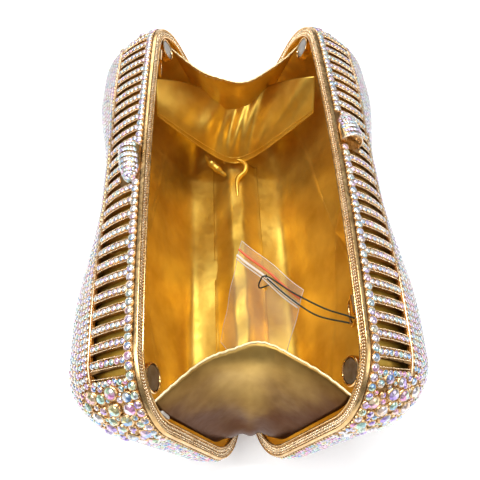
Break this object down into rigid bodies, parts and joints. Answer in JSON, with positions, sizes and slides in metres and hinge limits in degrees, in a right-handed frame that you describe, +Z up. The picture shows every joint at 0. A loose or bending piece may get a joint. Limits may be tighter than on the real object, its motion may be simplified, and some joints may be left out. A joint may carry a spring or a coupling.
{
  "type": "evening bag",
  "caption": "Hard metal evening clutch standing open: two crystal-set gold cases hinged along the bottom, gold lining, folded end gussets, corner magnets.",
  "frame": {"origin": "middle of the footprint, at the ground on which the open bag stands", "axes": "+X along the bag's length and its hinge line, +Y across the mouth towards the back case, +Z up"},
  "size_m": [0.21, 0.1368, 0.11],
  "materials": {
    "case_metal": "polished gold plating",
    "rim_metal": "satin gold plating with relief",
    "hardware": "polished gold plating",
    "lining": "satin metallic gold",
    "magnet": "satin",
    "crystal": "faceted, iridescent",
    "film": "clear film",
    "thread": "matt"
  },
  "bodies": {
    "back_half": {"back_case": "case_metal", "back_rim": "rim_metal", "back_lining": "lining", "back_knob": "crystal", "back_ring_barrel": "hardware", "back_magnet_a": "magnet", "back_magnet_cup_a": "hardware", "back_magnet_b": "magnet", "back_magnet_cup_b": "hardware", "back_hinge_leaf_left": "hardware", "back_hinge_leaf_right": "hardware", "hinge_pin_left": "hardware", "left_gusset": "lining", "hinge_pin_right": "hardware", "right_gusset": "lining", "bottom_lining": "lining", "back_bumper": "film"},
    "front_half": {"front_case": "case_metal", "front_rim": "rim_metal", "front_lining": "lining", "front_knob": "crystal", "front_ring_barrel": "hardware", "front_magnet_a": "magnet", "front_magnet_cup_a": "hardware", "front_magnet_b": "magnet", "front_magnet_cup_b": "hardware", "front_hinge_leaf_left": "hardware", "front_hinge_leaf_right": "hardware", "spares_pouch": "film", "pouch_zip": "film", "pouch_thread": "thread"},
    "back_ring": {"back_strap_ring": "hardware"},
    "front_ring": {"front_strap_ring": "hardware"}
  },
  "joints": [
    {"name": "case_hinge", "type": "hinge", "parent": "back_half", "child": "front_half", "pos_m": [0, 0, 0.0027], "axis": [1, 0, 0], "range_deg": [-42, 0], "deforming": ["left_gusset", "right_gusset", "bottom_lining"]},
    {"name": "back_ring_swing", "type": "hinge", "parent": "back_half", "child": "back_ring", "pos_m": [0.075, 0.03861, 0.09713], "axis": [1, 0, 0], "range_deg": [-80, 55]},
    {"name": "front_ring_swing", "type": "hinge", "parent": "front_half", "child": "front_ring", "pos_m": [-0.065, -0.03885, 0.09776], "axis": [1, 0, 0], "range_deg": [-55, 80], "deforming": ["pouch_thread"]}
  ]
}
